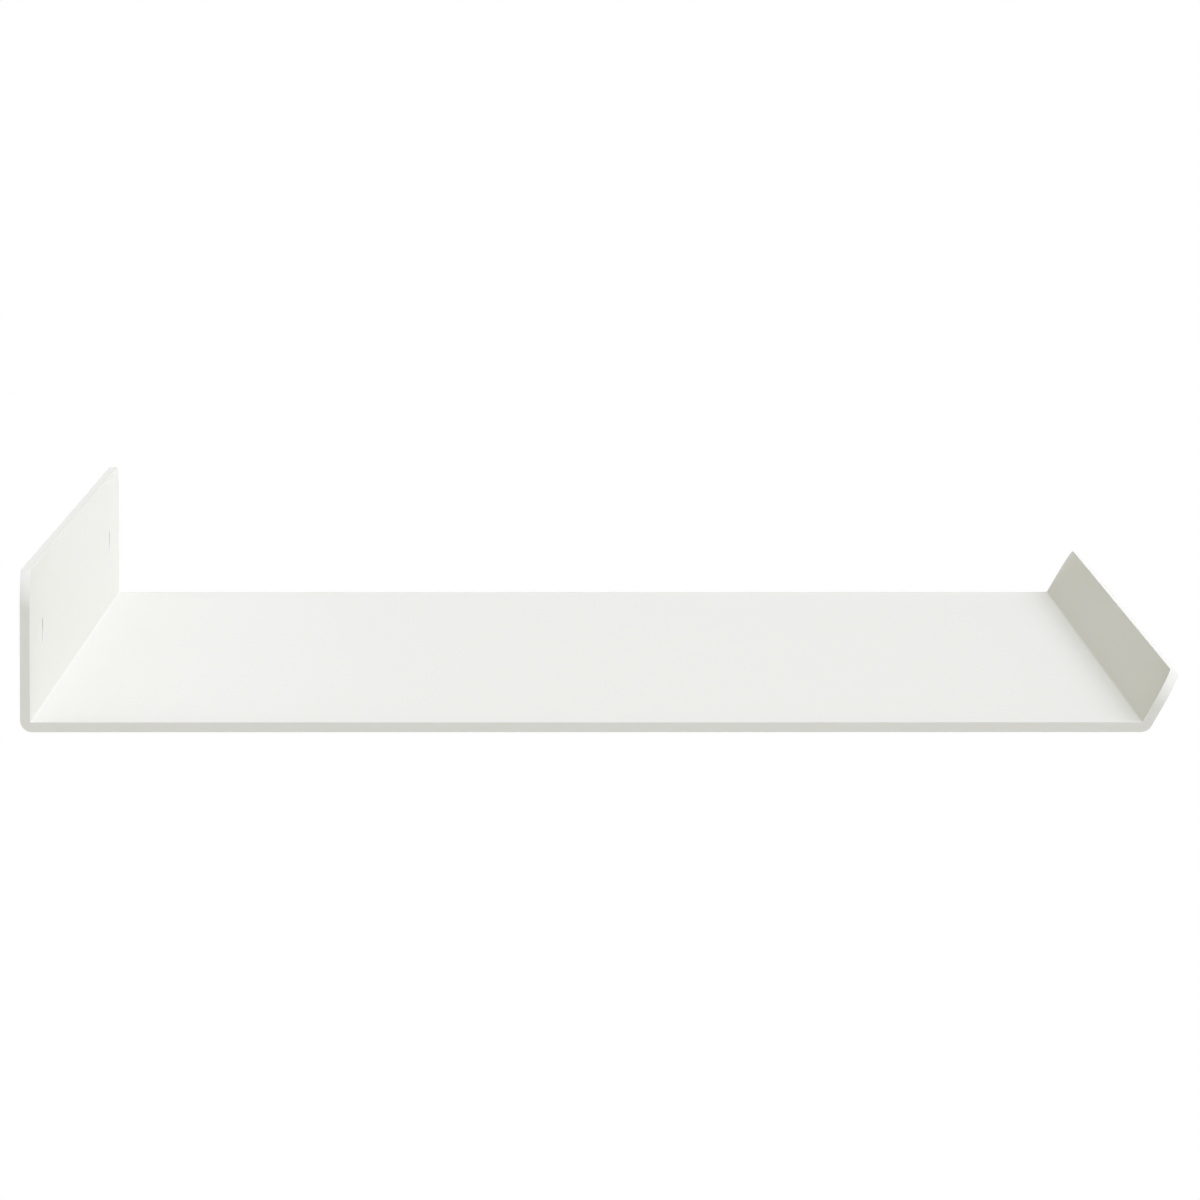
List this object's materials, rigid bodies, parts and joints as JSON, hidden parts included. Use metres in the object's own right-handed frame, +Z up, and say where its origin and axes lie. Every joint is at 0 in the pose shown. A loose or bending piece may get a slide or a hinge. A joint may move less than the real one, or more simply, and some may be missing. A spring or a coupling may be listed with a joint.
{
  "type": "floating wall shelf",
  "caption": "Floating wall shelf folded from sheet steel, with an upright wall flange, a short sloping front lip and countersunk screws in wall plugs.",
  "frame": {"origin": "on the wall's surface, on the back face of the wall flange, halfway between the axes of the two wall screws", "axes": "+X along the wall and the shelf's length, +Y into the wall along the screws, so the shelf stands out towards -Y, +Z up, square to the shelf's top"},
  "size_m": [0.6, 0.3329, 0.0417],
  "materials": {
    "powder_coat": "matte",
    "zinc_plated_steel": "satin",
    "grey_nylon": "matte"
  },
  "bodies": {
    "root": {"shelf_plate": "powder_coat", "wall_screw_left": "zinc_plated_steel", "wall_screw_right": "zinc_plated_steel", "wall_plug_left": "grey_nylon", "wall_plug_right": "grey_nylon"}
  },
  "joints": []
}
